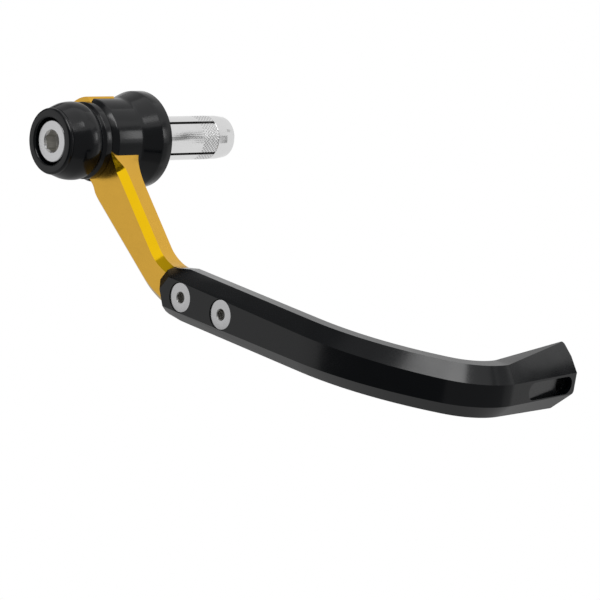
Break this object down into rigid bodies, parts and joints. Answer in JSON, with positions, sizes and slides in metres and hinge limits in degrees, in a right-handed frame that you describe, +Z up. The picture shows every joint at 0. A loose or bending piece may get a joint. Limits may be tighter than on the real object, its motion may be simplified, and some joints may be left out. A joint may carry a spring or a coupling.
{
  "type": "brake lever guard",
  "caption": "Motorbike brake lever guard: bent milled blade on a gold bracket arm, held to the handlebar by a flanged collar, end cap, clamp bolt and split expanding sleeve.",
  "frame": {"origin": "on the handlebar axis, in the plane where the collar's flange meets the end of the bar", "axes": "+X along the bar towards the middle of the bike, -Y forwards along the blade's straight run, +Z up"},
  "size_m": [0.0747, 0.1739, 0.057],
  "materials": {
    "black_anodised": "black anodised, satin to glossy",
    "gold_anodised": "gold anodised, satin",
    "steel": "bright plated steel",
    "bare_aluminium": "bare turned aluminium"
  },
  "bodies": {
    "root": {"end_cap": "black_anodised", "bar_end_collar": "black_anodised", "guard_blade": "black_anodised", "bracket_arm": "gold_anodised", "clamp_bolt": "steel", "guard_screws": "steel", "collet_sleeve": "bare_aluminium", "expander_nut": "bare_aluminium"}
  },
  "joints": []
}
